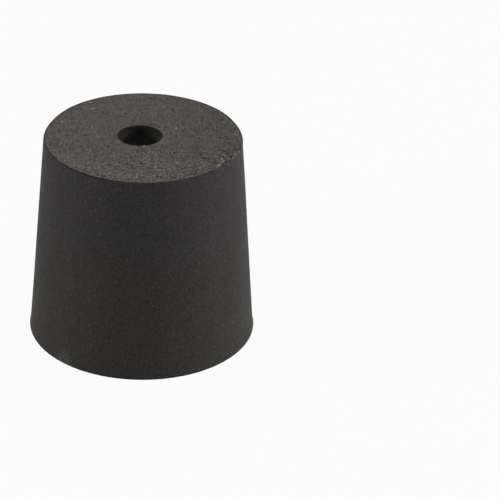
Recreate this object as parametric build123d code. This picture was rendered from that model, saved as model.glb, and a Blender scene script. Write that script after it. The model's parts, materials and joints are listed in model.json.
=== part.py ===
from build123d import *
from math import cos, radians, sin
import os

# A one-hole rubber stopper, moulded in one piece, in millimetres with +Z up.
# The origin is the centre of the wide end, the face that it stands on.

# The tapered plug
wide_d = 27.0  # across the wide end, over the flash
narrow_d = 23.2  # across the narrow end
length = 25.0  # from one end face to the other
narrow_edge_r = 0.2  # rounding of the edge that goes into a neck first

# The flash: a thin flared lip round the wide end, where the mould closed
flash_proud = 0.05  # how far it stands out from the tapered wall
flash_edge = 0.12  # its thickness at the outside
flash_height = 0.6  # where it has run out into the wall

# The bore, for a glass or metal tube, moulded a little off the plug's axis
bore_d = 5.0
bore_off_x = -0.4
bore_off_y = 0.2
bore_mouth_r = 0.2  # rounding of its mouth in the narrow end

# The size numeral, sunk in the wide end with its top towards the bore
numeral_height = 3.7
numeral_width = 2.6
numeral_stroke = 0.6  # width of the groove
numeral_depth = 0.3
numeral_to_rim = 1.75  # from its foot to the outside of the wide end
bowl_start = 140.0  # degrees round the bowl, where the upright meets it
bowl_sweep = 290.0  # degrees that the bowl runs on, clockwise


def tapered_plug():
    """The solid of revolution: wide face, flash, tapered wall and narrow face."""
    wide_r = wide_d / 2
    narrow_r = narrow_d / 2
    wall_r = wide_r - flash_proud
    slope = (wall_r - narrow_r) / length
    lip = (wide_r, flash_edge)
    wall_foot = (wall_r - slope * flash_height, flash_height)
    base = Polyline((0, 0), (wide_r, 0), lip)
    flare = TangentArc(wall_foot, lip, tangent=(slope, -1))
    wall = Polyline(wall_foot, (narrow_r, length), (0, length), (0, 0))
    return revolve(make_face(Plane.XZ * (base + flare + wall)), Axis.Z)


def bored(plug):
    """The plug with its bore, and both edges of the narrow face rounded."""
    bore = Cylinder(bore_d / 2, length, align=(Align.CENTER, Align.CENTER, Align.MIN))
    drilled = plug - Pos(bore_off_x, bore_off_y) * bore
    rim = drilled.edges().group_by(Axis.Z)[-1].sort_by(SortBy.RADIUS)[-1]
    rounded = fillet(rim, narrow_edge_r)
    mouth = rounded.edges().group_by(Axis.Z)[-1].sort_by(SortBy.RADIUS)[0]
    return fillet(mouth, bore_mouth_r)


def numeral_line():
    """The centre line of the figure five, about the middle of the figure."""
    top = (numeral_height - numeral_stroke) / 2
    bowl_r = (numeral_width - numeral_stroke) / 2
    bowl_y = bowl_r - top
    start = radians(bowl_start)
    upright_x = bowl_r * cos(start)
    strokes = Polyline(
        (bowl_r, top),
        (upright_x, top),
        (upright_x, bowl_y + bowl_r * sin(start)),
    )
    bowl = CenterArc((0, bowl_y), bowl_r, bowl_start, -bowl_sweep)
    return Wire([*strokes.edges(), *bowl.edges()])


def numeral_groove():
    """The groove that is sunk in the wide face, read from below."""
    stroke = make_face(numeral_line().offset_2d(numeral_stroke / 2))
    middle = wide_d / 2 - numeral_to_rim - numeral_height / 2
    wide_face = Plane(origin=(0, 0, 0), x_dir=(1, 0, 0), z_dir=(0, 0, -1))
    return extrude(wide_face * Pos(0, -middle) * stroke, -numeral_depth)


stopper = bored(tapered_plug()) - numeral_groove()

os.makedirs("parts", exist_ok=True)
export_step(stopper, "parts/stopper.step")
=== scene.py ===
import json
from math import atan2, cos, pi, radians, sin, sqrt, tau
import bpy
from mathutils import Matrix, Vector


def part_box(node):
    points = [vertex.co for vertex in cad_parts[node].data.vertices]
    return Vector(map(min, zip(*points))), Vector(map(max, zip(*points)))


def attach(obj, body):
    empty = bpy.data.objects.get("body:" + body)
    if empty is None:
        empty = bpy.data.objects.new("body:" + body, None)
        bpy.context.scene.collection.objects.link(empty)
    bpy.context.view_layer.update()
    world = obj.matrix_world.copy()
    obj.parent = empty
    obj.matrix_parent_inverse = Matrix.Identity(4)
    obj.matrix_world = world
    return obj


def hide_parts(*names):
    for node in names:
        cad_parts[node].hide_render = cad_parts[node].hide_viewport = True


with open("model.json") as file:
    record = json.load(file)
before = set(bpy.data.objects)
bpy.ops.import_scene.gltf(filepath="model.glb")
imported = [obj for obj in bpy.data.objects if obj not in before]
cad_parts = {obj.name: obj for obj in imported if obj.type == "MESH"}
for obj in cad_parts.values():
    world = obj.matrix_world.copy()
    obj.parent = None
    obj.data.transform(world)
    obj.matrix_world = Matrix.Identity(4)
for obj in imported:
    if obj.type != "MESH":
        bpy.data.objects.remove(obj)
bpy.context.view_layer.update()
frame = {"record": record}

from types import SimpleNamespace

import bpy
import numpy as np
from bpy.props import FloatProperty, FloatVectorProperty, IntProperty, PointerProperty
from mathutils import Matrix

# A one-hole rubber stopper: a tapered black plug with ground end faces, standing on its wide end.
# Bare lengths are in millimetres. The frame, the properties and the objects are in metres.

bl_info = {
    "name": "Rubber Stopper",
    "version": (1, 0, 0),
    "blender": (4, 5, 0),
    "location": "3D View > Sidebar > Rubber Stopper",
    "description": "Makes a one-hole rubber stopper and a plain stage for it",
    "category": "Add Mesh",
}

MM = 0.001
NODE = "stopper"
BODY = "root"

low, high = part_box(NODE)
bore_mount = next(mount for mount in frame["record"]["mounts"] if mount["kind"] == "bore")


def size(name, description, default):
    """A length that can be set, in metres."""
    return FloatProperty(name=name, description=description, default=default, unit="LENGTH", precision=5)


def angle(name, description, degrees):
    """An angle that can be set, with its default in degrees."""
    return FloatProperty(name=name, description=description, default=radians(degrees), subtype="ANGLE")


def number(name, description, default):
    """A plain number that can be set, from 0 up."""
    return FloatProperty(name=name, description=description, default=default, min=0.0)


def colour(name, description, default):
    """A colour that can be set, as linear red, green and blue."""
    return FloatVectorProperty(
        name=name, description=description, default=default, subtype="COLOR", min=0.0, max=1.0
    )


class StopperSizes(bpy.types.PropertyGroup):
    """The stopper's sizes."""

    wide_across: size("Wide end", "Across the wide end, over the flash", high.x - low.x)
    narrow_across: size("Narrow end", "Across the narrow end, before its edge is rounded", 23.2 * MM)
    length: size("Length", "From one end face to the other", high.z - low.z)
    narrow_edge: size("Narrow edge", "Rounding of the edge of the narrow end", 0.2 * MM)
    flash_proud: size("Flash stands out", "How far the flash stands out from the wall", 0.05 * MM)
    flash_edge: size("Flash edge", "Thickness of the flash at the outside", 0.12 * MM)
    flash_height: size("Flash height", "Where the flash has run out into the wall", 0.6 * MM)
    bore_across: size("Bore", "Across the bore", 2 * bore_mount["dims"]["r_mm"] * MM)
    bore_x: size("Bore X", "Place of the bore's axis along X", bore_mount["pos_m"][0])
    bore_y: size("Bore Y", "Place of the bore's axis along Y", bore_mount["pos_m"][1])
    bore_edge: size("Bore edge", "Rounding of the bore's mouth in the narrow end", 0.2 * MM)
    web_across: size("Web opening", "Across the torn web of rubber left in the bore's wide end", 4.5 * MM)
    web_thick: size("Web thickness", "Thickness of the torn web", 0.3 * MM)
    numeral_height: size("Numeral height", "Height of the size numeral in the wide end", 3.7 * MM)
    numeral_width: size("Numeral width", "Width of the size numeral", 2.6 * MM)
    numeral_stroke: size("Numeral stroke", "Width of the numeral's groove", 0.6 * MM)
    numeral_depth: size("Numeral depth", "Depth of the numeral's groove", 0.3 * MM)
    numeral_to_rim: size("Numeral to rim", "From the numeral's foot to the rim", 1.75 * MM)
    seed: IntProperty(name="Seed", description="Picks another set of pits and unevenness", default=5)


class RubberColours(bpy.types.PropertyGroup):
    """The rubber's colours and gloss."""

    skin: colour("Skin", "The moulded skin of the wall", (0.0282, 0.0270, 0.0249))
    bloom: colour("Bloom", "The skin's colour near the narrow end", (0.0284, 0.0262, 0.0268))
    ground: colour("Ground face", "The rubber where an end face is ground", (0.1054, 0.0951, 0.0868))
    wide: colour("Wide face", "The rubber of the wide end face", (0.128, 0.119, 0.108))
    wide_patch: colour("Wide face patch", "The smoother rubber about the numeral", (0.089, 0.092, 0.088))
    # Its pale colour also paints the highlights on the bore's mouth and the narrow end's edge
    specks_and_glints: colour("Pale marks", "Pale specks, grains and scratches", (0.42, 0.40, 0.37))
    skin_roughness: number("Skin roughness", "Roughness of the moulded skin", 0.65)
    ground_roughness: number("Ground roughness", "Roughness of the ground faces", 0.9)
    gloss: number("Gloss", "How much the rubber reflects when looked at straight", 0.035)


class StageSettings(bpy.types.PropertyGroup):
    """The camera, the floor and the light."""

    lens: FloatProperty(name="Lens", description="Focal length of the camera", default=188.041, unit="CAMERA")
    camera_back: size("Camera back", "How far the camera stands back from the plug's axis", 271.79 * MM)
    camera_up: size("Camera up", "How high the camera stands", 162.65 * MM)
    camera_down: angle("Camera tilt", "How far the camera looks down", 29.304)
    camera_right: angle("Camera turn", "How far it turns to the right", 2.705)
    camera_roll: angle("Camera roll", "How far it leans to the side", 1.773)
    floor: colour("Floor", "Colour of the floor", (0.6, 0.6, 0.6))
    sky: number("Sky", "Light of the plain surroundings", 0.2)
    lamps: number("Lamps", "Strength of the soft lamps", 1.0)


def measured(group):
    """The stopper's sizes in millimetres, with the radii and places that follow from them."""
    lengths = {
        name: getattr(group, name) / MM
        for name, value in group.bl_rna.properties.items()
        if value.type == "FLOAT" and value.unit == "LENGTH"
    }
    sizes = SimpleNamespace(**lengths)
    sizes.wide_r = sizes.wide_across / 2
    sizes.narrow_r = sizes.narrow_across / 2
    sizes.bore_r = sizes.bore_across / 2
    sizes.web_r = sizes.web_across / 2
    sizes.wall_r = sizes.wide_r - sizes.flash_proud
    sizes.numeral_y = sizes.wide_r - sizes.numeral_to_rim - sizes.numeral_height / 2
    return sizes


# The surface is a grid. Its rows run up the bore, over the narrow end, down the wall and across
# the wide end to the bore again, and its columns stand at set angles round the plug.
COLUMNS = 384
BORE_ROWS = 22
MOUTH_ROWS = 5
NARROW_ROWS = 60
EDGE_ROWS = 6
WALL_ROWS = 80
FLASH_ROWS = 11
LIP_ROWS = 2
WIDE_ROWS = 64
CROWDING_STEPS = 4000

# Angles round the plug, seen from above, from the right towards the back
NUMERAL_AZIMUTH = radians(90)
CHIPPED_AZIMUTH = radians(-28)
FOOT_HIGHLIGHT_AZIMUTH = radians(-133)

# Where rows or columns stand closer together: the place, how far that reaches and how much closer
NARROW_CROWDS = ((1, 0.05, 1.5), (0, 0.05, 1.0))
WALL_CROWDS = ((1, 0.05, 0.6), (0, 0.03, 1.0))
WIDE_CROWDS = ((0, 0.02, 2.0), (1, 0.02, 1.0))
NUMERAL_CROWD = (0.2, 1.4)
COLUMN_CROWDS = ((NUMERAL_AZIMUTH, radians(11), 1.2), (CHIPPED_AZIMUTH, radians(20), 0.5))

# The levels of the web's rows, in parts of its thickness: up its torn edge, and where it joins the bore
WEB_EDGE = (0, 0.5, 1)
WEB_TOP = 1.1
BORE_FOOT = 1.5


def smooth(value, start, end):
    """0 at the start, 1 at the end and smooth between."""
    part = np.clip((value - start) / (end - start), 0, 1)
    return part * part * (3 - 2 * part)


def crowded(start, end, count, crowds):
    """Steps from start to end, closer together about each crowd's place."""
    fine = np.linspace(start, end, CROWDING_STEPS + 1)
    density = 1 + sum(more * np.exp(-(((fine - place) / reach) ** 2)) for place, reach, more in crowds)
    run = np.cumsum(density)
    run = (run - run[0]) / (run[-1] - run[0])
    return np.interp(np.linspace(0, 1, count + 1), run, fine)


def evenly(count):
    """Even steps from 0 to 1."""
    return np.linspace(0, 1, count + 1)


def line(first, last, steps, name):
    """Rows on a straight stretch, without the last. A row is its share, inner and outer radius and height."""
    first = np.array(first, float)
    last = np.array(last, float)
    return [(name, *(first + (last - first) * step)) for step in steps[:-1]]


def bore_rows(sizes):
    """Up the bore to the rounding of its mouth."""
    foot = (0, sizes.bore_r, 0, sizes.web_thick * BORE_FOOT)
    top = (0, sizes.bore_r, 0, sizes.length - sizes.bore_edge)
    return line(foot, top, evenly(BORE_ROWS), "bore")


def narrow_rows(sizes, face_r):
    """Over the rounded mouth of the bore and across the narrow face."""
    mouth_r = sizes.bore_r + sizes.bore_edge
    rows = []
    for turn in np.linspace(pi / 2, 0, MOUTH_ROWS + 1)[:-1]:
        radius = mouth_r - sizes.bore_edge * sin(turn)
        rows.append(("narrow", 0, radius, 0, sizes.length - sizes.bore_edge * (1 - cos(turn))))
    mouth = (0, mouth_r, face_r, sizes.length)
    border = (1, mouth_r, face_r, sizes.length)
    return rows + line(mouth, border, crowded(0, 1, NARROW_ROWS, NARROW_CROWDS), "narrow")


def wall_rows(sizes, face_r, lean):
    """Over the rounded narrow edge, down the wall and over the flash to its lip."""
    edge = sizes.narrow_edge
    edge_z = sizes.length - edge
    rows = []
    for turn in np.linspace(0, pi / 2 - lean, EDGE_ROWS + 1)[:-1]:
        rows.append(("wall", 1, 0, face_r + edge * sin(turn), edge_z + edge * cos(turn)))
    foot_r = sizes.wall_r - (sizes.wall_r - sizes.narrow_r) / sizes.length * sizes.flash_height
    top = (1, 0, face_r + edge * cos(lean), edge_z + edge * sin(lean))
    foot = (1, 0, foot_r, sizes.flash_height)
    rows += line(top, foot, crowded(0, 1, WALL_ROWS, WALL_CROWDS), "wall")
    # The flash leaves the wall along its slope and flares out in an arc.
    reach = sizes.wide_r - foot_r
    drop = sizes.flash_height - sizes.flash_edge
    bend_r = (reach**2 + drop**2) / 2 / (reach * cos(lean) - drop * sin(lean))
    turn_end = 2 * (atan2(reach, drop) - lean)
    for turn in np.linspace(0, turn_end, FLASH_ROWS + 1)[:-1]:
        out = foot_r + bend_r * (cos(lean) - cos(lean + turn))
        rows.append(("wall", 1, 0, out, sizes.flash_height - bend_r * (sin(lean + turn) - sin(lean))))
    return rows


def wide_rows(sizes):
    """Down the lip, over its small lower corner and across the wide face to the web."""
    corner = sizes.flash_edge / 3
    face_r = sizes.wide_r - corner
    lip = (1, 0, sizes.wide_r, sizes.flash_edge)
    lip_foot = (1, 0, sizes.wide_r, corner)
    rows = line(lip, lip_foot, evenly(LIP_ROWS), "wall")
    rows.append(("wide", 1, 0, sizes.wide_r, corner))
    numeral = (sizes.wide_r - sizes.numeral_y) / (sizes.wide_r - sizes.web_r)
    steps = crowded(0, 1, WIDE_ROWS, ((numeral, *NUMERAL_CROWD), *WIDE_CROWDS))
    return rows + line((1, sizes.web_r, face_r, 0), (0, sizes.web_r, face_r, 0), steps, "wide")


def web_rows(sizes):
    """Up the torn edge of the web and out over its top to the bore."""
    rows = [("web", 0, sizes.web_r, 0, sizes.web_thick * level) for level in WEB_EDGE]
    return [*rows, ("web", 0, sizes.bore_r, 0, sizes.web_thick * WEB_TOP)]


def outline(sizes):
    """The rows, each with the stretch that it begins, and its share, inner radius, outer radius and height.
    At share 0 a row is a circle about the bore's axis, at share 1 about the plug's, and between it blends."""
    spread = sizes.wall_r - sizes.narrow_r
    lean = atan2(spread, sizes.length)
    # The narrow face ends where its rounded edge begins, and that ends where it meets the leaning wall.
    edge = sizes.narrow_edge
    face_r = sizes.narrow_r + spread / sizes.length * edge * (1 + sin(lean)) - edge * cos(lean)
    rows = bore_rows(sizes) + narrow_rows(sizes, face_r) + wall_rows(sizes, face_r, lean)
    return rows + wide_rows(sizes) + web_rows(sizes)


# The surface's unevenness is pressed inwards. Each kind is given by its depth and its breadth.
NARROW_WAVES = ((0.03, 3.2), (0.012, 1.1))
WIDE_WAVES = ((0.03, 3.6),)
GROUND_GRAIN = ((0.03, 0.32),)
WALL_WAVES = ((0.035, 6.0), (0.006, 0.8))
EDGE_WAVES = ((0.003, 0.9),)
FLASH_WAVES = ((0.03, 2.4), (0.02, 0.7))
BORE_WAVES = ((0.02, 0.7),)
WEB_TEARS = ((0.12, 0.45), (0.08, 0.18))
LATTICE = 64  # cells each way before the unevenness repeats

# Where the unevenness fades out: in from a face's borders, below the narrow face, at these heights at the
# foot of the wall, and for the flash at this many times its height
FACE_FADE = 0.35
WALL_FADE = 1.2
FOOT_FADE = (0.1, 1.4)
FLASH_FADE = 1.2

# Where the web in the bore's wide end is torn straight: the direction and distance of each chord,
# seen from below with the numeral upright
TORN = ((75, 1.9), (0, 2.2), (-36, 2.16), (-80, 2.14))
FACING = 0.2  # the least cosine at which a chord still counts
TEAR_RING = 3  # radius of the ring on which the tears' unevenness is read

# The size numeral, a five: where its bowl leaves the upright, and how far round the bowl runs
BOWL_START = radians(140)
BOWL_SWEEP = radians(290)
GROOVE_TOP = 0.05  # how far the rounding of the groove's edge reaches outside it
GROOVE_FLOOR = 0.1  # and how far inside
GROOVE_UNEVEN = 0.1  # the share of its depth that is missing here and there
GROOVE_GRAIN = 0.5

# The narrow face's pits
PITS = 1500
PIT_R = 0.13  # of the smallest, and the largest has twice that
PIT_DEPTH = 0.06

# The narrow end's edge: the chipped stretch, and lighter wear at an azimuth, over a spread, to a depth
CHIPPED_SPREAD = radians(17)
CHIP_ACROSS = 0.5
CHIP_LEVELS = (0.4, 0.75)  # of the unevenness from 0 to 1, where a chip begins and where it is full
CHIP_DEPTH = 0.13
CHIPPED_WEAR = 0.04
EDGE_REACH = (0.6, 0.1)  # from the edge, where its wear has run out and where it is full
SOFTENED = (
    (radians(160), radians(16), 0.09),
    (radians(18), radians(14), 0.09),
)

# A soft hollow low in the wall, under which the foot seems to swell
HOLLOW_HEIGHT = 1.9
HOLLOW_TALL = 0.8
HOLLOW_SPREAD = radians(7)
HOLLOW_DEPTH = 0.12


def grain(points, breadth, seed):
    """Smooth unevenness from 0 to 1, with bumps of about this breadth."""
    lattice = np.random.default_rng(seed).random((LATTICE,) * 3)
    cells = points / breadth
    corner = np.floor(cells).astype(int)
    part = cells - corner
    part = part * part * (3 - 2 * part)
    total = np.zeros(points.shape[:-1])
    for step in np.ndindex(2, 2, 2):
        weight = np.prod(np.where(np.array(step) == 1, part, 1 - part), axis=-1)
        near = (corner + np.array(step)) % LATTICE
        total += weight * lattice[near[..., 0], near[..., 1], near[..., 2]]
    return total


def waves(points, kinds, seed):
    """Several kinds of unevenness on top of each other. Each takes the next seed."""
    return sum(depth * grain(points, breadth, seed + turn) for turn, (depth, breadth) in enumerate(kinds))


def torn_opening(turns, sizes, seed):
    """The radius of the ragged opening in the web, at each angle round the bore."""
    radius = np.full(turns.shape, sizes.web_r)
    for degrees, distance in TORN:
        facing = np.cos(-turns - radians(degrees))
        chord = np.where(facing > FACING, distance / np.maximum(facing, FACING), sizes.web_across)
        radius = np.minimum(radius, chord)
    ring = np.stack([np.cos(turns), np.sin(turns), 0 * turns], -1) * TEAR_RING
    return radius - waves(ring, WEB_TEARS, seed)


def to_stroke(x, y, start, end):
    """The distance from a straight stroke of the numeral."""
    along = np.array(end) - np.array(start)
    part = ((x - start[0]) * along[0] + (y - start[1]) * along[1]) / (along @ along)
    part = np.clip(part, 0, 1)
    return np.hypot(x - start[0] - part * along[0], y - start[1] - part * along[1])


def to_numeral(x, y, sizes):
    """The distance from the centre line of the numeral, whose middle is at the origin."""
    top = (sizes.numeral_height - sizes.numeral_stroke) / 2
    bowl_r = (sizes.numeral_width - sizes.numeral_stroke) / 2
    bowl_y = bowl_r - top
    upright_x = bowl_r * cos(BOWL_START)
    corner = (upright_x, top)
    joint = (upright_x, bowl_y + bowl_r * sin(BOWL_START))
    near = np.minimum(to_stroke(x, y, (bowl_r, top), corner), to_stroke(x, y, corner, joint))
    behind = (BOWL_START - np.arctan2(y - bowl_y, x)) % tau
    ring = np.abs(np.hypot(x, y - bowl_y) - bowl_r)
    last = BOWL_START - BOWL_SWEEP
    tail = np.hypot(x - bowl_r * cos(last), y - bowl_y - bowl_r * sin(last))
    return np.minimum(near, np.where(behind < BOWL_SWEEP, ring, tail))


def narrow_coarseness(x, y):
    """How coarse the narrow face is ground: smooth at the left and back, coarse in front and at the right."""
    front = smooth(-y, 0.5, 7.5)
    right = smooth(x, -2, 10)
    left = smooth(-x, 4.5, 9)
    return np.clip(0.18 + 0.75 * front + 0.35 * right - 0.55 * left, 0.1, 1)


def wide_coarseness(points, x, y, seed):
    """How coarse the wide face is ground: uneven, and smooth in a patch about the numeral. X and Y count from
    the numeral's middle."""
    patch = smooth(np.hypot(x + 0.5, (y - 0.5) * 1.2), 4.6, 2.2)
    return np.clip(0.25 + 0.8 * grain(points, 4.0, seed) - 0.6 * patch, 0.05, 1)


def pitted(x, y, reach, seed):
    """How deep each point lies in small round pits, which are closer together where the face is coarse."""
    rng = np.random.default_rng(seed)
    depth = np.zeros(x.shape)
    for _ in range(PITS):
        radius = reach * sqrt(rng.random())
        turn = tau * rng.random()
        pit_x = radius * cos(turn)
        pit_y = radius * sin(turn)
        pit_r = PIT_R * (1 + rng.random() ** 2)
        if rng.random() > narrow_coarseness(pit_x, pit_y):
            continue
        near = np.hypot(x - pit_x, y - pit_y) < pit_r
        if near.any():
            bowl = 1 - (np.hypot(x[near] - pit_x, y[near] - pit_y) / pit_r) ** 2
            depth[near] = np.maximum(depth[near], bowl * (0.5 + rng.random()))
    return depth


def smooth_grid(sizes, seed):
    """The grid before any wear: each row's stretch, share and height, and each point's place and angle."""
    rows = outline(sizes)
    zone = np.array([row[0] for row in rows])
    share, inner, outer, z = (np.array(values)[:, None] for values in zip(*(row[1:] for row in rows)))
    turns = crowded(-pi, pi, COLUMNS, COLUMN_CROWDS)
    turn = turns[None, :-1]
    ragged = np.isin(zone, ("wide", "web"))[:, None] & (inner != sizes.bore_r)
    inner = np.where(ragged, torn_opening(turn, sizes, seed), inner)
    x = (1 - share) * (sizes.bore_x + inner * np.cos(turn)) + share * outer * np.cos(turn)
    y = (1 - share) * (sizes.bore_y + inner * np.sin(turn)) + share * outer * np.sin(turn)
    points = np.stack([x, y, z + 0 * x], -1)
    return SimpleNamespace(zone=zone, share=share, z=z, x=x, y=y, points=points, turn=turn, turns=turns)


def on(grid, *zones):
    """1 in the rows of these stretches and 0 in the rest."""
    return np.isin(grid.zone, zones)[:, None]


def outward(points):
    """The direction out of the surface at each point of the grid."""
    down = np.roll(points, -1, 0) - np.roll(points, 1, 0)
    across = np.roll(points, -1, 1) - np.roll(points, 1, 1)
    normal = np.cross(down, across)
    return normal / np.linalg.norm(normal, axis=-1, keepdims=True)


def face_wear(grid, sizes, seed):
    """The depth of the end faces' grinding, pits and numeral, and what the rubber's look needs of them."""
    from_edges = np.minimum(grid.share, 1 - grid.share) * (sizes.narrow_r - sizes.bore_r)
    inside = smooth(from_edges, 0, FACE_FADE)
    narrow = on(grid, "narrow") * inside
    wide = on(grid, "wide") * inside
    # The numeral is read from below, with its top towards the bore.
    upright_y = sizes.numeral_y - grid.y
    coarse = np.where(on(grid, "narrow"), narrow_coarseness(grid.x, grid.y), 0)
    coarse = np.where(on(grid, "wide"), wide_coarseness(grid.points, grid.x, upright_y, seed + 2), coarse)
    groove_r = sizes.numeral_stroke / 2
    from_line = to_numeral(grid.x, upright_y, sizes)
    groove = wide * smooth(from_line, groove_r + GROOVE_TOP, groove_r - GROOVE_FLOOR)
    pits = narrow * pitted(grid.x, grid.y, sizes.narrow_r, seed + 9)
    depth = narrow * waves(grid.points, NARROW_WAVES, seed + 3)
    depth += (narrow + wide) * coarse * waves(grid.points, GROUND_GRAIN, seed + 5)
    depth += wide * waves(grid.points, WIDE_WAVES, seed + 6)
    depth += PIT_DEPTH * pits
    missing = GROOVE_UNEVEN * (1 - grain(grid.points, GROOVE_GRAIN, seed + 10))
    depth += groove * sizes.numeral_depth * (1 - missing)
    return depth, coarse, pits, groove


def edge_wear(grid, sizes, seed):
    """The depth of the wear on the narrow end's edge, and where it is chipped."""
    edge_r = sizes.narrow_r - sizes.narrow_edge / 2
    from_edge = np.hypot(np.hypot(grid.x, grid.y) - edge_r, grid.z - sizes.length)
    close = smooth(from_edge, *EDGE_REACH)
    chipped = np.exp(-(((grid.turn - CHIPPED_AZIMUTH) / CHIPPED_SPREAD) ** 4)) * close
    chips = chipped * smooth(grain(grid.points, CHIP_ACROSS, seed + 11), *CHIP_LEVELS)
    depth = CHIP_DEPTH * chips + CHIPPED_WEAR * chipped
    depth += close * waves(grid.points, EDGE_WAVES, seed + 12)
    for azimuth, spread, worn_depth in SOFTENED:
        around = np.abs((grid.turn - azimuth + pi) % tau - pi) / spread
        depth += close * worn_depth * np.exp(-(around**2))
    return depth, chips


def wall_wear(grid, sizes, seed):
    """The depth of the wall's unevenness, of the hollow low in it and of the uneven flash."""
    middle = smooth(sizes.length - grid.z, 0, WALL_FADE) * smooth(grid.z, *FOOT_FADE)
    across = np.exp(-(((grid.turn - FOOT_HIGHLIGHT_AZIMUTH) / HOLLOW_SPREAD) ** 2))
    hollow = across * np.exp(-(((grid.z - HOLLOW_HEIGHT) / HOLLOW_TALL) ** 2))
    ring = np.stack([np.cos(grid.turn), np.sin(grid.turn), 0 * grid.turn], -1) * sizes.wide_r
    flash = smooth(grid.z, sizes.flash_height * FLASH_FADE, sizes.flash_edge)
    depth = middle * waves(grid.points, WALL_WAVES, seed + 7)
    depth += HOLLOW_DEPTH * hollow + flash * waves(ring, FLASH_WAVES, seed + 13)
    return on(grid, "wall") * depth


def worn_grid(sizes, seed):
    """The stopper as one closed grid with its finish and wear, and what the rubber's look needs of them."""
    grid = smooth_grid(sizes, seed)
    depth, coarse, pits, groove = face_wear(grid, sizes, seed)
    edge_depth, chips = edge_wear(grid, sizes, seed)
    depth = depth + edge_depth + wall_wear(grid, sizes, seed)
    depth += on(grid, "bore", "web") * waves(grid.points, BORE_WAVES, seed + 15)
    grid.points = grid.points - outward(grid.points) * depth[..., None]
    grid.points[..., 2] = np.clip(grid.points[..., 2], 0, sizes.length)
    return grid, {"coarse": coarse, "pit": np.clip(pits + chips, 0, 1), "groove": groove}


MAP_GAP = 0.6  # between the islands of the bake's map


def corner_list(u, v):
    """The corners of one row of faces on the bake's map, in the order that the mesh holds them."""
    places = np.stack([u, v], -1)
    return np.stack([places[0, :-1], places[1, :-1], places[1, 1:], places[0, 1:]], 1).reshape(-1, 2)


def bake_map(grid, sizes):
    """Each face corner's place on the bake's map: the wall in two halves, two discs, the bore and the web."""
    turns = grid.turns
    wrapped = np.concatenate([grid.points, grid.points[:, :1]], 1)
    wrapped = np.concatenate([wrapped, wrapped[:1]], 0)
    steps = np.linalg.norm(np.diff(wrapped[:, 0], axis=0), axis=-1)
    run = np.concatenate([[0], np.cumsum(steps)])
    half = COLUMNS // 2
    mean_r = (sizes.wide_r + sizes.narrow_r) / 2
    strip_wide = mean_r * max(turns[half] - turns[0], turns[-1] - turns[half])
    wall = np.flatnonzero(grid.zone == "wall")
    wall_end = run[wall[-1] + 1]
    strip_high = wall_end - run[wall[0]]
    discs_x = MAP_GAP * 2 + strip_wide + sizes.wide_r
    bore_y = MAP_GAP * 3 + strip_high * 2
    corners = []
    for row, name in enumerate(grid.zone):
        pair = wrapped[row : row + 2]
        if name == "narrow":
            u = discs_x + pair[..., 0]
            v = MAP_GAP * 2 + sizes.wide_r * 2 + sizes.narrow_r + pair[..., 1]
        elif name == "wide":
            u = discs_x + pair[..., 0]
            v = MAP_GAP + sizes.wide_r - pair[..., 1]
        elif name == "wall":
            u = MAP_GAP + mean_r * (turns - turns[0])[None] + np.zeros((2, 1))
            v = MAP_GAP + (wall_end - run[row : row + 2])[:, None] + np.zeros((1, COLUMNS + 1))
            corners.append(corner_list(u[:, : half + 1], v[:, : half + 1]))
            u = u[:, half:] - mean_r * (turns[half] - turns[0])
            v = v[:, half:] + MAP_GAP + strip_high
        else:
            u = MAP_GAP + sizes.bore_r * (turns - turns[0])[None] + np.zeros((2, 1))
            start = bore_y + (MAP_GAP + sizes.length if name == "web" else 0)
            base = run[np.flatnonzero(grid.zone == name)[0]]
            v = start + (run[row : row + 2] - base)[:, None] + np.zeros((1, COLUMNS + 1))
        corners.append(corner_list(u, v))
    places = np.concatenate(corners)
    return places / (places.max() + MAP_GAP)


def make_body(sizes, seed):
    """The stopper's mesh object."""
    grid, paint = worn_grid(sizes, seed)
    row, column = np.indices(grid.points.shape[:2])
    after = (column + 1) % COLUMNS
    below = (row + 1) % len(grid.points)
    faces = np.stack(
        [row * COLUMNS + column, below * COLUMNS + column, below * COLUMNS + after, row * COLUMNS + after], -1
    )
    mesh = bpy.data.meshes.new("rubber_stopper")
    mesh.from_pydata((grid.points * MM).reshape(-1, 3).tolist(), [], faces.reshape(-1, 4).tolist())
    mesh.shade_smooth()
    for name, values in paint.items():
        held = mesh.attributes.new(name, "FLOAT", "POINT")
        held.data.foreach_set("value", values.ravel().astype(np.float32))
    layer = mesh.uv_layers.new(name="OFBake")
    layer.uv.foreach_set("vector", bake_map(grid, sizes).astype(np.float32).ravel())
    body = bpy.data.objects.new("rubber_stopper", mesh)
    bpy.context.scene.collection.objects.link(body)
    return body


class Value:
    """One output of a node, which Python's operators act on."""

    def __init__(self, nodes, node, socket):
        self.nodes = nodes
        self.node = node
        self.socket = socket

    def also(self, name):
        """Another output of the same node."""
        return Value(self.nodes, self.node, self.node.outputs[name])

    def maths(self, operation, first, second):
        """A Math node on two values or numbers."""
        return self.nodes.add("ShaderNodeMath", {"operation": operation}, {0: first, 1: second})

    def __add__(self, other):
        return self.maths("ADD", self, other)

    __radd__ = __add__

    def __sub__(self, other):
        return self.maths("SUBTRACT", self, other)

    def __rsub__(self, other):
        return self.maths("SUBTRACT", other, self)

    def __mul__(self, other):
        return self.maths("MULTIPLY", self, other)

    __rmul__ = __mul__

    def __gt__(self, other):
        return self.maths("GREATER_THAN", self, other)

    def __lt__(self, other):
        return self.maths("LESS_THAN", self, other)

    def most(self, other):
        """The larger of the two."""
        return self.maths("MAXIMUM", self, other)


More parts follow.
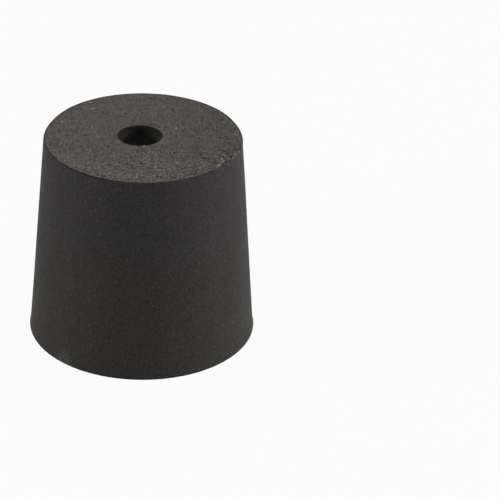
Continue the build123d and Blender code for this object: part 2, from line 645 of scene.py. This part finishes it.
class Nodes:
    """The nodes of one material or world."""

    def __init__(self, tree):
        self.tree = tree
        tree.nodes.clear()

    def add(self, kind, settings=None, sockets=None, output=0):
        """Adds a node, with its settings first and then the values or links of its sockets."""
        node = self.tree.nodes.new(kind)
        placed = len(self.tree.nodes)
        node.location = (180 * (placed // 8), -200 * (placed % 8))
        for name, setting in (settings or {}).items():
            setattr(node, name, setting)
        for name, given in (sockets or {}).items():
            if isinstance(given, Value):
                self.tree.links.new(given.socket, node.inputs[name])
            else:
                node.inputs[name].default_value = given
        return Value(self, node, node.outputs[output] if node.outputs else None)

    def vector(self, operation, sockets, output=0):
        """A Vector Math node."""
        return self.add("ShaderNodeVectorMath", {"operation": operation}, sockets, output)

    def moved(self, place, shift):
        """A place shifted by this much."""
        return self.vector("ADD", {0: place, 1: shift})

    def distance(self, place, point):
        """How far a place is from a point."""
        return self.vector("DISTANCE", {0: place, 1: point}, "Value")

    def blend(self, mask, first, second):
        """The first colour where the mask is 0 and the second where it is 1."""
        return self.add("ShaderNodeMix", {"data_type": "RGBA"}, {0: mask, 6: first, 7: second}, 2)

    def tinted(self, tint, tone):
        """A colour made lighter or darker."""
        return self.vector("SCALE", {0: tint, "Scale": tone})

    def shader_mix(self, mask, first, second):
        """The first shader where the mask is 0 and the second where it is 1."""
        return self.add("ShaderNodeMixShader", {}, {0: mask, 1: first, 2: second})

    def ramp(self, value, start, end):
        """0 at the start, 1 at the end and smooth between."""
        sockets = {"Value": value, "From Min": start, "From Max": end}
        return self.add("ShaderNodeMapRange", {"interpolation_type": "SMOOTHSTEP"}, sockets)

    def attribute(self, name):
        """A value that the mesh holds at its points."""
        return self.add("ShaderNodeAttribute", {"attribute_name": name}, {}, "Fac")

    def clouds(self, place, blotch, detail, shift):
        """Unevenness about 0, from about -1 to 1. Another shift gives other blotches of the same size."""
        shifted = self.moved(place, (shift, -shift, 2 * shift))
        sockets = {"Vector": shifted, "Scale": 1 / blotch, "Detail": detail}
        noise = self.add("ShaderNodeTexNoise", {"noise_dimensions": "3D"}, sockets)
        return (noise - 0.5) * 4

    def dots(self, place, spacing, radius, chance):
        """1 in scattered round dots and 0 between. The chance is the share of cells that hold one."""
        cells = self.add("ShaderNodeTexVoronoi", {"feature": "F1"}, {"Vector": place, "Scale": 1 / spacing})
        lot = self.add("ShaderNodeSeparateColor", {}, {0: cells.also("Color")})
        return self.ramp(cells * spacing, radius, radius * 0.4) * (lot < chance)

    def spot(self, place, x, y, length, width, degrees):
        """1 inside an oval mark on an end face, and 0 outside."""
        along = (cos(radians(degrees)) / length, sin(radians(degrees)) / length, 0)
        aside = (-sin(radians(degrees)) / width, cos(radians(degrees)) / width, 0)
        from_middle = self.vector("SUBTRACT", {0: place, 1: (x, y, 0)})
        first = self.vector("DOT_PRODUCT", {0: from_middle, 1: along}, "Value")
        second = self.vector("DOT_PRODUCT", {0: from_middle, 1: aside}, "Value")
        return self.ramp(first * first + second * second, 1.3, 0.5)


# Marks on the narrow face: X and Y of the middle, half length, half width and angle in degrees
PALE_MARKS = (
    (-6.00, 7.22, 0.40, 0.10, 40),
    (-6.33, 8.80, 0.12, 0.13, 0),
    (-9.60, 3.72, 0.10, 0.22, 0),
    (3.85, 2.29, 0.15, 0.13, 0),
    (2.41, 7.83, 0.10, 0.13, 0),
    (5.03, 8.69, 0.10, 0.10, 0),
    (9.01, -5.47, 0.13, 0.13, 0),
    (10.90, 0.72, 0.32, 0.07, 12),
    (8.62, -7.02, 0.24, 0.10, 5),
)
# Painted highlights: a glint on the bore's mouth, and thin lines along the chipped edge of the narrow end
MOUTH_GLINTS = ((0.10, -2.44, 0.22, 0.15, 10),)
EDGE_GLINTS = (
    (11.45, -1.90, 0.05, 0.55, -9),
    (11.05, -3.40, 0.04, 0.22, -17),
)
DARK_MARKS = (
    (3.79, 0.28, 0.24, 0.26, 0),
    (2.17, -2.51, 0.22, 0.26, 0),
    (2.00, -3.43, 0.20, 0.22, 0),
    (-10.33, -0.19, 0.22, 0.20, 0),
    (-7.46, -2.76, 0.15, 0.20, 0),
    (-6.19, -5.12, 0.15, 0.22, 0),
    (-4.58, -6.43, 0.15, 0.22, 0),
    (-8.95, -5.84, 0.62, 0.10, 3),
    (-7.85, -5.45, 0.62, 0.12, 25),
    (9.76, -3.87, 0.45, 0.50, 0),
    (10.60, -3.10, 0.40, 0.50, 0),
    (10.20, -4.70, 0.55, 0.30, 30),
    (8.18, -6.59, 0.55, 0.40, 20),
)
BEHIND_BORE_PATCH = (0.4, 2.7, 0)  # middle of the darker patch behind the bore
BEHIND_BORE_REACH = (1.9, 0.4)  # from its middle, where it has ended and where it is full

# The moulded skin
FOOT_HIGHLIGHT_HEIGHT = 0.4  # of the painted highlight at the foot of the wall
FOOT_HIGHLIGHT_INSET = 0.1  # of its middle, from the wide end's radius
FOOT_HIGHLIGHT_REACH = (1.8, 0.1)  # from its middle, where it has ended and where it is full
EDGE_SHADE_DROPS = (0.24, 0.14)  # below the narrow face, where the painted shade on the edge begins and where it is full
BORE_LIGHT_DEPTH = 3.9  # how far down the bore the painted light has become full
BLOOM_HEIGHTS = (12, 19)  # where the bloom begins, and where it is full

# The borders of the ground faces
BORDER_SOFT = 0.03  # half the width over which one finish turns into the other
NARROW_BORDER = 0.13  # from the narrow end's radius in to the ground face
NARROW_BORDER_BACK = 0.17  # and how much farther in that is at the back
WIDE_BORDER = 0.16  # from the wide end's radius in to the ground face
WEB_BORDER = 0.35  # from the web's opening in to where the wide face's finish ends
CHIPPED_REACH = (4.2, 2.0)  # from the middle of the chipped stretch, where it has ended and where it is full


def whereabouts(nodes, sizes):
    """A point's place in millimetres, the same without its height, and what is worked out from those."""
    here = nodes.add("ShaderNodeTexCoord", {}, {}, "Object")
    place = nodes.vector("SCALE", {0: here, "Scale": 1 / MM})
    flat = nodes.vector("MULTIPLY", {0: place, 1: (1, 1, 0)})
    x = nodes.add("ShaderNodeSeparateXYZ", {}, {0: place}, "X")
    from_axis = nodes.vector("LENGTH", {0: flat}, "Value")
    from_bore = nodes.distance(flat, (sizes.bore_x, sizes.bore_y, 0))
    return SimpleNamespace(
        place=place, flat=flat, x=x, y=x.also("Y"), z=x.also("Z"), from_axis=from_axis, from_bore=from_bore
    )


def narrow_mask(nodes, at, sizes):
    """1 on the ground narrow face, whose border is ragged where the edge is chipped."""
    border_r = sizes.narrow_r - NARROW_BORDER - NARROW_BORDER_BACK * nodes.ramp(at.y, -2, 7)
    chipped = (cos(CHIPPED_AZIMUTH) * sizes.narrow_r, sin(CHIPPED_AZIMUTH) * sizes.narrow_r, 0)
    worn = nodes.ramp(nodes.distance(at.flat, chipped), *CHIPPED_REACH)
    flakes = nodes.clouds(at.place, blotch=0.5, detail=3, shift=31)
    ragged = at.from_axis + flakes * (0.012 + 0.2 * worn) - 0.03 * worn
    mask = (at.z > sizes.length * 0.9) * nodes.ramp(ragged, border_r + BORDER_SOFT, border_r - BORDER_SOFT)
    mouth_r = sizes.bore_r + sizes.bore_edge * 0.8
    return mask * nodes.ramp(at.from_bore, mouth_r - BORDER_SOFT, mouth_r + BORDER_SOFT)


def wide_mask(nodes, at, sizes):
    """1 on the wide face, also in the numeral's groove and on the web."""
    border_r = sizes.wide_r - WIDE_BORDER
    mask = at.z < sizes.numeral_depth + 0.1
    mask = mask * nodes.ramp(at.from_axis, border_r + BORDER_SOFT, border_r - BORDER_SOFT)
    return mask * (at.from_bore > sizes.web_r - WEB_BORDER)


def skin_look(nodes, at, sizes, colours):
    """The moulded skin: its colour, roughness and bump height."""
    grains = nodes.clouds(at.place, blotch=0.21, detail=2, shift=3)
    drifts = nodes.clouds(at.place, blotch=2.5, detail=2, shift=8)
    tone = 1 + 0.4 * grains + 0.06 * drifts
    # Painted shade and painted light: the bore is darker than the wall at its mouth, and painted paler
    # farther down.
    in_bore = nodes.ramp(at.from_bore, sizes.bore_across * 0.6, sizes.bore_across * 0.54)
    bore_painted_light = nodes.ramp(at.z, sizes.length + 0.1, sizes.length - BORE_LIGHT_DEPTH)
    tone = tone * (1 + in_bore * (6.4 * bore_painted_light - 0.66))
    # Painted shade darkens the lip of the flash, and a painted highlight lightens the foot at one place.
    lip = nodes.ramp(at.z, sizes.flash_edge * 1.4, sizes.flash_edge * 0.8)
    highlight_r = sizes.wide_r - FOOT_HIGHLIGHT_INSET
    foot_highlight = (highlight_r * cos(FOOT_HIGHLIGHT_AZIMUTH), highlight_r * sin(FOOT_HIGHLIGHT_AZIMUTH), FOOT_HIGHLIGHT_HEIGHT)
    tone = tone * (1 - 0.5 * lip) * (1 + 0.8 * nodes.ramp(nodes.distance(at.place, foot_highlight), *FOOT_HIGHLIGHT_REACH))
    # Painted shade: the rounding of the narrow end's edge is darker here and there.
    here_and_there = nodes.ramp(nodes.clouds(at.place, blotch=5, detail=1, shift=41), -0.15, 0.3)
    edge_shade = nodes.ramp(at.z, *[sizes.length - drop for drop in EDGE_SHADE_DROPS]) * here_and_there
    tone = tone * (1 - 0.4 * edge_shade * (1 - in_bore))
    # A faint bloom near the narrow end turns the black from warm to cool.
    wander = 1.5 * nodes.clouds(at.place, blotch=4, detail=2, shift=51)
    bloom = nodes.ramp(at.z + wander, *BLOOM_HEIGHTS) * (1 - in_bore)
    tint = nodes.blend(bloom, (*colours.skin, 1), (*colours.bloom, 1))
    specks = nodes.dots(at.place, spacing=0.6, radius=0.13, chance=0.19)
    tint = nodes.blend(specks * 0.085, nodes.tinted(tint, tone), (*colours.specks_and_glints, 1))
    rough = colours.skin_roughness + 0.06 * nodes.clouds(at.place, blotch=0.6, detail=2, shift=5)
    return tint, rough, 0.012 * nodes.clouds(at.place, blotch=0.4, detail=2, shift=11) + 0.01 * specks


def ground_look(nodes, at, colours):
    """A ground face: its tone, roughness and bump height."""
    coarse = nodes.attribute("coarse")
    left = nodes.ramp(at.x, -3, -8)
    back = nodes.ramp(at.y, 2, 7)
    # The grinding leaves streaks from front to back, over grains from fine to broad.
    drawn = nodes.vector("MULTIPLY", {0: at.place, 1: (1, 0.2, 1)})
    streaks = nodes.clouds(drawn, blotch=0.24, detail=2, shift=21) * (1 + 0.2 * left) * (1 - 0.45 * back)
    fine = nodes.clouds(at.place, blotch=0.2, detail=1, shift=23)
    mixed = nodes.clouds(at.place, blotch=0.38, detail=2, shift=25)
    mottled = nodes.clouds(at.place, blotch=1.1, detail=2, shift=26)
    broad = nodes.clouds(at.place, blotch=2.2, detail=3, shift=27)
    tone = 1 + 0.08 * broad + mottled * (0.08 + 0.05 * left) + 0.26 * streaks * (1.3 - coarse)
    tone = tone + fine * (0.18 + 0.4 * coarse + 0.1 * left) + mixed * (0.07 + 0.34 * coarse)
    # Dark holes and pale grains show where the face is coarse, and a few wider holes everywhere.
    holes = nodes.dots(at.place, spacing=0.42, radius=0.16, chance=0.75)
    holes = holes * nodes.ramp(coarse, 0.15, 0.9)
    wide_holes = nodes.dots(nodes.moved(at.place, (7, 3, 1)), spacing=0.6, radius=0.17, chance=0.25)
    grains = nodes.dots(nodes.moved(at.place, (2, 9, 4)), spacing=0.4, radius=0.14, chance=0.6)
    grains = grains * nodes.ramp(coarse, 0.2, 1)
    tone = tone * (1 - 0.45 * holes) * (1 - 0.35 * wide_holes)
    tone = tone * (1 - 0.45 * nodes.attribute("pit")) * (1 + 0.6 * grains)
    bump = 0.012 * fine + 0.02 * mixed * (0.3 + coarse) + 0.008 * streaks - 0.04 * holes - 0.03 * wide_holes
    return tone.most(0.2), colours.ground_roughness + 0.04 * broad, bump + 0.02 * grains


def marked(nodes, at, tint, marks, strength, mark_tint):
    """A colour with small marks over it."""
    for mark in marks:
        tint = nodes.blend(strength * nodes.spot(at.flat, *mark), tint, mark_tint)
    return tint


def narrow_tint(nodes, at, tone, colours):
    """The narrow face's colour: painted light in front, painted shade at the right, darker behind the bore,
    with its marks.
    """
    # Painted light lightens the face in front, and painted shade darkens it at the right.
    lit = (1 + 0.17 * nodes.ramp(at.y, -2, -8)) * (1 - 0.09 * nodes.ramp(at.x, 2, 9))
    patch_darkened = 1 - 0.28 * nodes.ramp(nodes.distance(at.flat, BEHIND_BORE_PATCH), *BEHIND_BORE_REACH)
    tint = nodes.tinted(tuple(colours.ground), tone * (lit * patch_darkened))
    tint = marked(nodes, at, tint, DARK_MARKS, 0.45, (*[0.35 * part for part in colours.ground], 1))
    return marked(nodes, at, tint, PALE_MARKS, 0.6, (*colours.specks_and_glints, 1))


def wide_tint(nodes, at, tone, sizes, colours):
    """The wide face's colour: a darker patch about the numeral, painted shade in the numeral's groove, and
    pale flecks.
    """
    from_patch = nodes.distance(at.flat, (-0.8, sizes.numeral_y - 0.4, 0))
    patch = nodes.ramp(from_patch + 0.5 * nodes.clouds(at.place, blotch=2.2, detail=3, shift=61), 4.6, 2.6)
    tint = nodes.blend(patch, (*colours.wide, 1), (*colours.wide_patch, 1))
    # Painted shade darkens the numeral's groove.
    tint = nodes.tinted(tint, tone * (1 - 0.45 * nodes.attribute("groove")))
    flecks = nodes.dots(at.place, spacing=1.5, radius=0.13, chance=0.16)
    return nodes.blend(0.7 * flecks, tint, (*colours.specks_and_glints, 1))


def rubber(sizes, colours):
    """The rubber: black moulded skin, and grey where the end faces are ground."""
    material = bpy.data.materials.new("black_rubber")
    material.use_nodes = True
    nodes = Nodes(material.node_tree)
    at = whereabouts(nodes, sizes)
    narrow = narrow_mask(nodes, at, sizes)
    wide = wide_mask(nodes, at, sizes)
    skin, skin_rough, skin_bump = skin_look(nodes, at, sizes, colours)
    tone, ground_rough, ground_bump = ground_look(nodes, at, colours)
    tint = nodes.blend(narrow, skin, narrow_tint(nodes, at, tone, colours))
    tint = nodes.blend(wide, tint, wide_tint(nodes, at, tone, sizes, colours))
    # Painted highlights on the bore's mouth and on the narrow end's chipped edge, which don't run down the
    # walls.
    specks_and_glints = (*colours.specks_and_glints, 1)
    at_top = nodes.ramp(at.z, sizes.length - 0.3, sizes.length - 0.1)
    patchy = nodes.ramp(nodes.clouds(at.place, blotch=0.3, detail=2, shift=71), -0.4, 0.2)
    tint = marked(nodes, at, tint, MOUTH_GLINTS, 0.8 * at_top, specks_and_glints)
    tint = marked(nodes, at, tint, EDGE_GLINTS, 0.55 * at_top * patchy, specks_and_glints)
    face = narrow.most(wide)
    relief = skin_bump + (ground_bump - skin_bump) * face
    sockets = {
        "Base Color": tint,
        "Roughness": skin_rough + (ground_rough - skin_rough) * face,
        "Normal": nodes.add("ShaderNodeBump", {}, {"Height": relief, "Distance": MM, "Strength": 1.0}),
        "Specular IOR Level": colours.gloss,
    }
    shader = nodes.add("ShaderNodeBsdfPrincipled", {}, sockets)
    nodes.add("ShaderNodeOutputMaterial", {}, {"Surface": shader})
    return material


# The radii of the floor's rings, from a hole just smaller than the wide end outwards, and of the disc
FLOOR_RINGS = (13.4, 14.5, 17, 22, 30, 45, 80, 160, 400, 2000)
FLOOR_SIDES = 96
FLOOR_DROP = 0.02  # below the wide face
BORE_DISC = 2.1


def make_floor(sizes):
    """The floor. It is open under the wide end, so that light from below reaches the stopper when it is
    seen from there, but for a disc that is seen through the bore."""
    turns = np.linspace(0, tau, FLOOR_SIDES, endpoint=False)
    around = np.stack([np.cos(turns), np.sin(turns), 0 * turns], -1)
    rings = np.concatenate([around * radius for radius in FLOOR_RINGS])
    disc = around * BORE_DISC + np.array([sizes.bore_x, sizes.bore_y, 0])
    points = np.concatenate([rings, disc]) - np.array([0, 0, FLOOR_DROP])
    faces = [
        (
            ring * FLOOR_SIDES + side,
            (ring + 1) * FLOOR_SIDES + side,
            (ring + 1) * FLOOR_SIDES + (side + 1) % FLOOR_SIDES,
            ring * FLOOR_SIDES + (side + 1) % FLOOR_SIDES,
        )
        for ring in range(len(FLOOR_RINGS) - 1)
        for side in range(FLOOR_SIDES)
    ]
    faces.append(tuple(range(len(rings), len(points))))
    mesh = bpy.data.meshes.new("floor")
    mesh.from_pydata((points * MM).tolist(), [], faces)
    floor = bpy.data.objects.new("floor", mesh)
    bpy.context.scene.collection.objects.link(floor)
    return floor


def seen_directly(nodes):
    """1 for rays that look at the background, straight, in gloss or through glass, and 0 for light."""
    rays = nodes.add("ShaderNodeLightPath", {}, {}, "Is Camera Ray")
    return rays.most(rays.also("Is Glossy Ray")).most(rays.also("Is Transmission Ray"))


def floor_material(stage):
    """A plain pale floor. Seen directly it is nearly white and keeps a part of the shadow, and from below
    it is clear."""
    material = bpy.data.materials.new("pale_floor")
    material.use_nodes = True
    nodes = Nodes(material.node_tree)
    whiteness = seen_directly(nodes) * 0.95
    lit = nodes.add("ShaderNodeBsdfDiffuse", {}, {"Color": (*stage.floor, 1)})
    white = nodes.add("ShaderNodeEmission", {}, {"Color": (1, 1, 1, 1), "Strength": 1.0})
    clear = nodes.add("ShaderNodeBsdfTransparent", {}, {})
    from_below = nodes.add("ShaderNodeNewGeometry", {}, {}, "Backfacing")
    surface = nodes.shader_mix(from_below, nodes.shader_mix(whiteness, lit, white), clear)
    nodes.add("ShaderNodeOutputMaterial", {}, {"Surface": surface})
    return material


# The soft lamps: azimuth and elevation in degrees, distance and sides in metres, and radiance
LAMPS = {
    "overhead_lamp": (10, 72, 0.8, 0.5, 0.5, 2.35),
    "left_lamp": (-106, 11, 0.8, 0.5, 0.3, 12),
    "right_lamp": (99, 11, 0.8, 0.5, 0.3, 18.3),
}


def make_lamp(name, azimuth, elevation, distance, width, depth, radiance):
    """A soft lamp that faces the stopper. Its azimuth is 0 behind the stopper, as the camera sees it, and 90
    at the right."""
    data = bpy.data.lights.new(name, "AREA")
    data.shape = "RECTANGLE"
    data.size = width
    data.size_y = depth
    data.energy = radiance * pi * width * depth
    lamp = bpy.data.objects.new(name, data)
    bpy.context.scene.collection.objects.link(lamp)
    flat = cos(radians(elevation)) * distance
    lamp.location = (
        flat * sin(radians(azimuth)),
        flat * cos(radians(azimuth)),
        sin(radians(elevation)) * distance,
    )
    lamp.rotation_mode = "QUATERNION"
    lamp.rotation_quaternion = lamp.location.to_track_quat("Z", "Y")
    lamp.visible_camera = False
    return lamp


def make_world(stage):
    """Plain white surroundings, whose light is weaker than they look."""
    world = bpy.data.worlds.new("surroundings")
    world.use_nodes = True
    nodes = Nodes(world.node_tree)
    strength = stage.sky + (1 - stage.sky) * seen_directly(nodes)
    background = nodes.add("ShaderNodeBackground", {}, {"Color": (1, 1, 1, 1), "Strength": strength})
    nodes.add("ShaderNodeOutputWorld", {}, {"Surface": background})
    return world


SENSOR_WIDE = 36
CAMERA_SEES = (0.05, 10)  # from and to this distance, in metres


def make_camera(stage):
    """The camera, in front of the stopper and above it."""
    data = bpy.data.cameras.new("camera")
    data.lens = stage.lens
    data.sensor_width = SENSOR_WIDE
    data.clip_start, data.clip_end = CAMERA_SEES
    camera = bpy.data.objects.new("camera", data)
    bpy.context.scene.collection.objects.link(camera)
    turn = Matrix.Rotation(-stage.camera_right, 4, "Z")
    tilt = Matrix.Rotation(radians(90) - stage.camera_down, 4, "X")
    roll = Matrix.Rotation(stage.camera_roll, 4, "Z")
    place = Matrix.Translation((0, -stage.camera_back, stage.camera_up))
    camera.matrix_world = place @ turn @ tilt @ roll
    return camera


class STOPPER_OT_make_body(bpy.types.Operator):
    """Makes the rubber stopper in place of its plain solid"""

    bl_idname = "stopper.make_body"
    bl_label = "Make the Stopper"

    def execute(self, context):
        scene = context.scene
        sizes = measured(scene.stopper_sizes)
        body = make_body(sizes, scene.stopper_sizes.seed)
        body.data.materials.append(rubber(sizes, scene.stopper_colours))
        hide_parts(NODE)
        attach(body, BODY)
        return {"FINISHED"}


class STOPPER_OT_make_stage(bpy.types.Operator):
    """Makes the floor, the surroundings, the lamps and the camera"""

    bl_idname = "stopper.make_stage"
    bl_label = "Make the Stage"

    def execute(self, context):
        scene = context.scene
        stage = scene.stopper_stage
        floor = make_floor(measured(scene.stopper_sizes))
        floor.data.materials.append(floor_material(stage))
        for name, (*placing, radiance) in LAMPS.items():
            make_lamp(name, *placing, radiance * stage.lamps)
        scene.world = make_world(stage)
        scene.camera = make_camera(stage)
        scene.view_settings.view_transform = "Standard"
        return {"FINISHED"}


class STOPPER_PT_panel(bpy.types.Panel):
    """The stopper's sizes, colours and stage"""

    bl_label = "Rubber Stopper"
    bl_idname = "STOPPER_PT_panel"
    bl_space_type = "VIEW_3D"
    bl_region_type = "UI"
    bl_category = "Rubber Stopper"

    def draw(self, context):
        """Lists the settings and the operators."""
        scene = context.scene
        for heading, group in (
            ("Sizes", scene.stopper_sizes),
            ("Colours", scene.stopper_colours),
            ("Stage", scene.stopper_stage),
        ):
            box = self.layout.box()
            box.label(text=heading)
            for name in group.__annotations__:
                box.prop(group, name)
        self.layout.operator(STOPPER_OT_make_body.bl_idname)
        self.layout.operator(STOPPER_OT_make_stage.bl_idname)


CLASSES = (
    StopperSizes,
    RubberColours,
    StageSettings,
    STOPPER_OT_make_body,
    STOPPER_OT_make_stage,
    STOPPER_PT_panel,
)
GROUPS = {
    "stopper_sizes": StopperSizes,
    "stopper_colours": RubberColours,
    "stopper_stage": StageSettings,
}


def register():
    """Adds the classes, and the settings to the scene."""
    for cls in CLASSES:
        bpy.utils.register_class(cls)
    for name, group in GROUPS.items():
        setattr(bpy.types.Scene, name, PointerProperty(type=group))


def unregister():
    """Takes the settings and the classes away again."""
    for name in GROUPS:
        delattr(bpy.types.Scene, name)
    for cls in reversed(CLASSES):
        bpy.utils.unregister_class(cls)


def main():
    """Makes the stopper and its stage."""
    register()
    bpy.ops.stopper.make_body()
    bpy.ops.stopper.make_stage()


if __name__ == "__main__":
    main()
